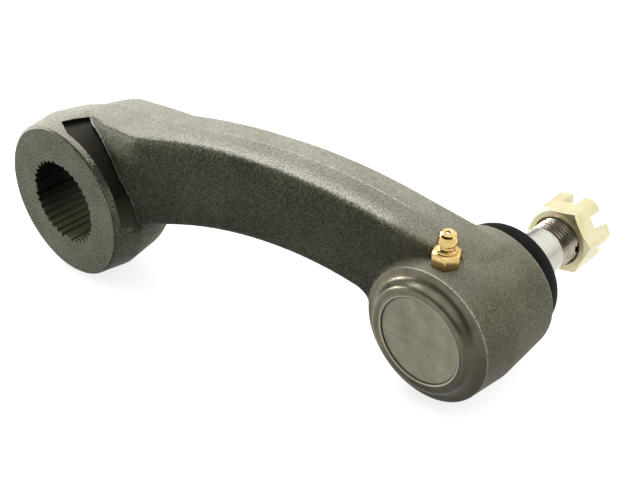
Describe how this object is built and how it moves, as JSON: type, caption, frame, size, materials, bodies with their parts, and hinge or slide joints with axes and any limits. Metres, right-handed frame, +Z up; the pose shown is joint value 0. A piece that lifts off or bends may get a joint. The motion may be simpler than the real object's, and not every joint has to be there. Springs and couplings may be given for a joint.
{
  "type": "pitman_arm",
  "caption": "Forged steering pitman arm with a splined boss, a bowed bar and a greasable ball joint with boot, tapered stud and slotted nut",
  "frame": {"origin": "Centre of the splined bore on the boss's front face", "axes": "+X runs along the arm from the splined bore to the ball joint, +Y runs along the bore away from the boss's front face, the way the ball stud points, and +Z is up, on the side of the grease fitting"},
  "size_m": [0.2039, 0.127, 0.0723],
  "materials": {
    "forged_steel": "as-forged grey-olive scale, matt and grainy",
    "plate_steel": "turned face, thin oil film",
    "spring_steel": "plain drawn wire and bright ball",
    "bearing_steel": "sintered, greased",
    "stud_steel": "ground and polished",
    "boot_rubber": "satin black",
    "zinc_steel": "pale yellow zinc plate",
    "fitting_steel": "yellow zinc plate, bright"
  },
  "bodies": {
    "arm": {"arm_forging": "forged_steel", "cover_plate": "plate_steel", "preload_spring": "spring_steel", "lower_bearing": "bearing_steel", "upper_bearing": "bearing_steel", "grease_fitting": "fitting_steel", "check_spring": "spring_steel"},
    "boot": {"dust_boot": "boot_rubber"},
    "stud": {"ball_stud": "stud_steel"},
    "nut": {"slotted_nut": "zinc_steel"},
    "check": {"check_ball": "spring_steel"}
  },
  "joints": [
    {"name": "stud_turn", "type": "hinge", "parent": "arm", "child": "boot", "pos_m": [0.1463, 0.055, -0.0056], "axis": [0, 1, 0], "continuous": true},
    {"name": "stud_tilt", "type": "hinge", "parent": "boot", "child": "stud", "pos_m": [0.1463, 0.055, -0.0056], "axis": [1, 0, 0], "range_deg": [-20, 20], "deforming": ["dust_boot"]},
    {"name": "nut_turn", "type": "hinge", "parent": "stud", "child": "nut", "pos_m": [0.1463, 0.1192, -0.0056], "axis": [0, 1, 0], "continuous": true},
    {"name": "check_press", "type": "slide", "parent": "arm", "child": "check", "axis": [0, 0, -1], "range_m": [0, 0.0008], "stiffness_N_per_m": 400, "deforming": ["check_spring"]}
  ]
}
